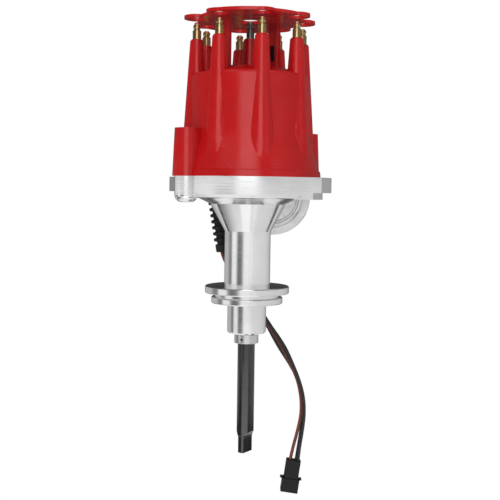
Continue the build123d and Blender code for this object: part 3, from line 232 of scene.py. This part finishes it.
FINISH = {
    bright: ["housing"],
    red: ["cap", "wire_retainer", "rotor"],
    brass: ["spark_terminals", "rotor_blade", "plug_pins"],
    post: ["coil_terminal"],
    bronze: ["lower_bush"],
    collar: ["drive_collar", "thrust_washer"],
    race: ["bearing_outer_race", "bearing_inner_race", "bearing_balls"],
    oxide: ["shaft"],
    steel: ["cap_screws", "bracket_screws", "roll_pin", "shaft_spacer", "advance_cam", "rotor_screws",
            "button_spring", "advance_springs", "vacuum_spring"],
    plated: ["vacuum_can_front", "vacuum_can_back", "vacuum_bracket", "vacuum_rod", "diaphragm_cup",
             "advance_plate", "advance_weight_a", "advance_weight_b", "pickup_plate", "pickup_pole",
             "reluctor"],
    black: ["retainer_latches", "ignition_module", "pickup_coil", "plug", "centre_button"],
    rubber: ["strain_relief", "diaphragm"],
}


def dress_nodes():
    for material, names in FINISH.items():
        for name in names:
            mesh = nodes[name].data
            mesh.materials.clear()
            mesh.materials.append(material)


# ---------------------------------------------------------------- harness wires
MM_PER_M = 1000
WIRE_R = 0.00125
WIRE_LOOKS = {      # record's slot and cover
    "harness_wire_left": ("wire_brown", brown_cover),
    "harness_wire_right": ("wire_black", black_cover),
    "harness_wire_rear": ("wire_grey", dark_cover),
}
WIRES = {           # control points in mm, from the strain relief to the plug
    "harness_wire_left": [
        (-20.9, 32.4, 40.5), (-19.6, 32.7, 31.9), (-12.0, 34.5, 19.4), (-3.2, 36.3, 6.5),
        (6.4, 35.8, -5.8), (15.8, 32.8, -19.0), (26.9, 29.5, -36.2), (33.6, 27.5, -49.0),
        (39.8, 25.8, -61.8), (42.7, 24.2, -74.7), (43.1, 22.4, -87.5),
        (40.4, 20.6, -100.3), (36.4, 18.8, -114.7), (34.3, 18.0, -125.2)],
    "harness_wire_right": [
        (-18.2, 32.9, 41.0), (-16.9, 33.1, 32.4), (-9.2, 34.0, 20.8), (-0.7, 35.0, 8.4),
        (7.9, 33.6, -4.6), (16.5, 30.0, -18.5), (29.3, 26.8, -35.7), (35.3, 24.8, -48.5),
        (40.8, 23.1, -61.3), (44.5, 21.4, -74.1), (45.3, 19.6, -86.8), (43.9, 17.9, -99.6),
        (41.4, 16.1, -113.9), (40.4, 16.6, -126.0)],
    "harness_wire_rear": [
        (-20.0, 35.0, 40.7), (-18.6, 35.3, 32.1), (-10.5, 37.2, 19.9), (-2.8, 39.2, 6.8),
        (5.5, 38.5, -6.4), (14.9, 35.6, -19.6), (24.3, 32.2, -36.7), (33.1, 30.2, -49.5),
        (40.5, 28.6, -62.4), (43.6, 26.9, -75.3), (44.6, 25.1, -88.1),
        (43.1, 23.4, -101.0), (40.8, 21.6, -115.4), (39.0, 19.4, -125.9)],
}


def round_wire(name, kind, path, section_r, resolution):
    """Curve with a round section along a path of points, and its spline."""
    data = bpy.data.curves.new(name, "CURVE")
    data.dimensions = "3D"
    spline = data.splines.new(kind)
    spline.points.add(len(path) - 1)
    for point, place in zip(spline.points, path):
        point.co = [*place, 1]
    data.bevel_depth = section_r
    data.bevel_resolution = resolution
    data.use_fill_caps = True
    return data, spline


def make_wires():
    for name, points in WIRES.items():
        path = [[value / MM_PER_M for value in place] for place in points]
        data, spline = round_wire(name + "_cord", "NURBS", path, section_r=1.0, resolution=5)
        for point in spline.points:
            point.radius = WIRE_R   # a curve's box grows by this much, so the size is here and not in the bevel
        spline.order_u = 3
        spline.use_endpoint_u = True
        spline.resolution_u = 16
        wire = put(name + "_cord", data)
        slot, cover = WIRE_LOOKS[name]
        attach(wire, "housing")
        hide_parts(name)
        wire.data.materials.append(cover)


# ---------------------------------------------------------------- springs
VACUUM_WIRE_R, VACUUM_COILS = 0.0007, 6
SPRING_GAP = 0.0001                 # left free inside the CAD spring's box
ADVANCE_WIRE_R, ADVANCE_COILS = 0.00042, 11
ADVANCE_COIL_R = 0.0015
LOOP_R = 0.0017                     # loop round a post, to the wire's middle
LOOP_REACH = 0.0024                 # from a post's middle to the first coil
LOOP_DEGREES = range(-165, 166, 15)
WEIGHT_POST = (0.018045, -0.014098)
CAM_POST = (0.0122, 0)
STEPS_PER_COIL = 20


def coiled(name, path, section_r, node):
    """Spring bent from round wire along a path of points, as a mesh in the CAD node's place."""
    data, _ = round_wire(name + "_path", "POLY", path, section_r, resolution=2)
    bent = put(name + "_path", data)
    mesh = bpy.data.meshes.new_from_object(bent)
    bpy.data.objects.remove(bent)
    for polygon in mesh.polygons:
        polygon.use_smooth = True
    mesh.materials.append(steel)
    piece = put(name, mesh)
    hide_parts(node)
    return piece


def helix(start, end, radius, turns):
    """Points that wind round the line from start to end."""
    along = end - start
    side = along.orthogonal().normalized()
    other = along.normalized().cross(side)
    count = turns * STEPS_PER_COIL
    points = []
    for i in range(count + 1):
        angle = 2 * math.pi * i / STEPS_PER_COIL
        points.append(start + along * (i / count) + side * (radius * math.cos(angle))
                      + other * (radius * math.sin(angle)))
    return points


def make_vacuum_spring():
    """Return spring in the can."""
    low, high = (Vector(corner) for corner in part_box("vacuum_spring"))
    middle = (low + high) / 2
    inset = VACUUM_WIRE_R + SPRING_GAP
    near = Vector((middle.x, low.y + inset, middle.z))
    far = Vector((middle.x, high.y - inset, middle.z))
    coils = helix(near, far, (high.x - low.x) / 2 - inset, VACUUM_COILS)
    spring = coiled("vacuum_return_spring", coils, VACUUM_WIRE_R, "vacuum_spring")
    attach(spring, "housing")
    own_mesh(spring)


def make_advance_spring(side, turn, height):
    """Spring from a weight's post to the cam's, made in two halves, one at each post."""
    outer = Vector((WEIGHT_POST[0] * turn, WEIGHT_POST[1] * turn, height))
    inner = Vector((CAM_POST[0] * turn, CAM_POST[1] * turn, height))
    line = (inner - outer).normalized()
    across = Vector((-line.y, line.x, 0))
    loop = [(-line * math.cos(angle) + across * math.sin(angle)) * LOOP_R
            for angle in map(math.radians, LOOP_DEGREES)]
    coils = helix(outer + line * LOOP_REACH, inner - line * LOOP_REACH, ADVANCE_COIL_R, ADVANCE_COILS)
    half = len(coils) // 2
    outer_path = [outer + place for place in loop] + coils[:half + 1]
    inner_path = coils[half:] + [inner - place for place in loop]
    name = "advance_spring_" + side
    weight_end = coiled(name + "_outer", outer_path, ADVANCE_WIRE_R, "advance_springs")
    cam_end = coiled(name + "_inner", inner_path, ADVANCE_WIRE_R, "advance_springs")
    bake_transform(weight_end)
    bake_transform(cam_end)


def make_springs():
    make_vacuum_spring()
    low, high = (Vector(corner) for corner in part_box("advance_springs"))
    height = (low.z + high.z) / 2
    make_advance_spring("a", 1, height)
    make_advance_spring("b", -1, height)


# ---------------------------------------------------------------- stage
WHITE = (1, 1, 1, 1)
FLOOR_REACH, FLOOR_LEVEL = 4.0, -0.30
FLOOR_COLOR = (0.9, 0.9, 0.9, 1)
SOFT_LIGHT = 0.5


def by_ray(tree, lighting, seen, output):
    """One shader for light, and another for camera, glossy and transmission rays."""
    path = tree.nodes.new("ShaderNodeLightPath")
    chosen = path.outputs["Is Camera Ray"]
    for ray in ("Is Glossy Ray", "Is Transmission Ray"):
        most = tree.nodes.new("ShaderNodeMath")
        most.operation = "MAXIMUM"
        tree.links.new(chosen, most.inputs[0])
        tree.links.new(path.outputs[ray], most.inputs[1])
        chosen = most.outputs[0]
    mix = tree.nodes.new("ShaderNodeMixShader")
    out = tree.nodes.new(output)
    tree.links.new(chosen, mix.inputs["Fac"])
    tree.links.new(lighting.outputs[0], mix.inputs[1])
    tree.links.new(seen.outputs[0], mix.inputs[2])
    tree.links.new(mix.outputs[0], out.inputs["Surface"])


def make_world():
    """White to look at, and half as strong as a light."""
    world = bpy.data.worlds.new("studio")
    bpy.context.scene.world = world
    world.use_nodes = True
    tree = world.node_tree
    tree.nodes.clear()
    soft = tree.nodes.new("ShaderNodeBackground")
    fill(soft, {"Color": WHITE, "Strength": SOFT_LIGHT})
    seen = tree.nodes.new("ShaderNodeBackground")
    fill(seen, {"Color": WHITE})
    by_ray(tree, soft, seen, "ShaderNodeOutputWorld")


def make_floor():
    """Pale floor that takes light, and is plain white to look at."""
    mesh = bpy.data.meshes.new("floor")
    corners = [(x * FLOOR_REACH, y * FLOOR_REACH, FLOOR_LEVEL)
               for x, y in ((-1, -1), (1, -1), (1, 1), (-1, 1))]
    mesh.from_pydata(corners, [], [(0, 1, 2, 3)])
    floor = put("floor", mesh)
    mat = bpy.data.materials.new("pale_floor")
    mat.use_nodes = True
    tree = mat.node_tree
    tree.nodes.clear()
    diffuse = tree.nodes.new("ShaderNodeBsdfDiffuse")
    fill(diffuse, {"Color": FLOOR_COLOR})
    glow = tree.nodes.new("ShaderNodeEmission")
    fill(glow, {"Color": WHITE})
    by_ray(tree, diffuse, glow, "ShaderNodeOutputMaterial")
    mesh.materials.append(mat)


# ---------------------------------------------------------------- cards seen only in reflections
CARD_R = 0.55               # from the shaft's line to the curved cards, which stand one on another
CARD_STEP = 4               # degrees between their columns, at most
BASE_FOOT = -0.299          # just over the floor
BASE_TOP = -0.22            # base: reflected by the shaft's edges
SKIRT_TOP = -0.15           # skirt: by the cone's edges
LOW_TOP = 0.062             # low: by the neck, the flanges and the bowl
RING_TOP = 0.115            # ring: by the retainer ring's underside
HIGH_TOP = 1.5              # high: by the cap
FRONT_LEVEL = -0.296        # front: on the floor, reflected by the shaft and the cone
UNDER_LEVEL = -0.295        # under: on the floor, reflected by the cone and the flanges
FRONT_NEAR, FRONT_FAR = -0.62, -0.2
UNDER_FAR = 0.8


def make_card(name, columns):
    """Card whose columns each have two ends and a shade, blended across."""
    mesh = bpy.data.meshes.new(name)
    corners = [end for column in columns for end in column[:2]]
    faces = [(2 * i, 2 * i + 1, 2 * i + 3, 2 * i + 2) for i in range(len(columns) - 1)]
    mesh.from_pydata(corners, [], faces)
    tones = mesh.attributes.new("shade", "FLOAT", "POINT")
    for i, (_, _, shade) in enumerate(columns):
        tones.data[2 * i].value = tones.data[2 * i + 1].value = shade
    card = put(name, mesh)
    mat = bpy.data.materials.new(name)
    mat.use_nodes = True
    tree = mat.node_tree
    tree.nodes.clear()
    tone = tree.nodes.new("ShaderNodeAttribute")
    tone.attribute_name = "shade"
    glow = tree.nodes.new("ShaderNodeEmission")
    out = tree.nodes.new("ShaderNodeOutputMaterial")
    tree.links.new(tone.outputs["Fac"], glow.inputs["Strength"])
    tree.links.new(glow.outputs[0], out.inputs["Surface"])
    mesh.materials.append(mat)
    card.visible_camera = False
    card.visible_diffuse = False
    card.visible_shadow = False
    card.visible_transmission = False


def curved(stops, low, high):
    """Columns that stand round the object, at bearings from the camera's side, left negative."""
    shades = []
    for (start, shade), (end, next_shade) in zip(stops, stops[1:]):
        steps = max(1, round((end - start) / CARD_STEP))
        for i in range(steps):
            shades.append((start + (end - start) * i / steps, shade + (next_shade - shade) * i / steps))
    shades.append(stops[-1])
    columns = []
    for bearing, shade in shades:
        angle = math.radians(bearing)
        x, y = CARD_R * math.sin(angle), -CARD_R * math.cos(angle)
        columns.append(((x, y, low), (x, y, high), shade))
    return columns


def flat(stops, near, far, level):
    """Columns that lie on the floor from near to far, each at its x."""
    return [((x, near, level), (x, far, level), shade) for x, shade in stops]


def make_cards():
    make_card("card_low", curved([
        (-180, 0.1), (-165, 0.2), (-150, 0.5), (-112, 0.55), (-102, 0.3), (-94, 0.24), (-86, 0.27),
        (-79, 0.98), (-58, 0.98), (-51, 0.36), (-44, 0.16), (-34, 0.18), (-26, 0.3), (-17, 0.95), (8, 1.0),
        (11, 0.76), (14, 1.0), (28, 0.84), (60, 0.8), (100, 0.76), (130, 0.62), (165, 0.2), (180, 0.1)],
        SKIRT_TOP, LOW_TOP))
    make_card("card_base", curved([
        (-180, 0.1), (-60, 0.06), (-46, 1.9), (22, 1.9), (38, 0.06), (180, 0.1)], BASE_FOOT, BASE_TOP))
    make_card("card_skirt", curved([
        (-180, 0.1), (-155, 0.1), (-140, 0.8), (-110, 0.8), (-95, 0.3), (-60, 0.1), (-44, 1.6), (26, 1.6),
        (42, 0.3), (60, 0.75), (140, 0.75), (155, 0.1), (180, 0.1)], BASE_TOP, SKIRT_TOP))
    make_card("card_front", flat([
        (-0.5, 0.2), (-0.3, 0.5), (-0.16, 0.85), (-0.13, 1.15), (0.05, 1.15), (0.07, 0.8), (0.09, 0.8),
        (0.11, 1.05), (0.2, 0.85), (0.3, 0.5), (0.5, 0.2)], FRONT_NEAR, FRONT_FAR, FRONT_LEVEL))
    make_card("card_ring", curved([
        (-180, 0.02), (-150, 0.06), (-125, 0.7), (-90, 1.0), (14, 1.0), (30, 0.86), (44, 0.8), (62, 0.86),
        (100, 0.8), (150, 0.06), (180, 0.02)], LOW_TOP, RING_TOP))
    make_card("card_high", curved([
        (-180, 0.02), (-120, 0.15), (-90, 0.12), (-22, 0.1), (-13, 1.9), (9, 1.9), (20, 0.14), (60, 0.25),
        (120, 0.2), (180, 0.02)], RING_TOP, HIGH_TOP))
    make_card("card_under", flat([
        (-0.60, 0.4), (-0.46, 0.35), (-0.38, 0.62), (-0.26, 0.85), (-0.17, 0.95), (-0.10, 1.0), (0.02, 1.0),
        (0.03, 0.7), (0.04, 1.0), (0.12, 0.85), (0.3, 0.8), (0.6, 0.75)], FRONT_FAR, UNDER_FAR, UNDER_LEVEL))


# ---------------------------------------------------------------- lamps
def make_lamp(name, place, target, power, size):
    """Soft square lamp that lights the object and isn't itself reflected in it."""
    data = bpy.data.lights.new(name, "AREA")
    data.energy = power
    data.shape = "RECTANGLE"
    data.size = data.size_y = size
    lamp = put(name, data)
    lamp.location = place
    lamp.rotation_euler = (Vector(target) - Vector(place)).to_track_quat("-Z", "Y").to_euler()
    lamp.visible_glossy = False


def make_lamps():
    make_lamp("key", place=(-0.9, -1.1, 1.0), target=(0, 0, 0.08), power=14, size=0.8)
    make_lamp("fill", place=(1.2, -0.9, 0.5), target=(0, 0, 0.08), power=7, size=1.0)
    make_lamp("rim", place=(0.2, 1.3, 0.9), target=(0, 0, 0.1), power=8, size=1.0)


make_camera()
make_wires()
make_springs()
dress_nodes()
make_world()
make_floor()
make_cards()
make_lamps()
bpy.context.scene.view_settings.view_transform = "Standard"
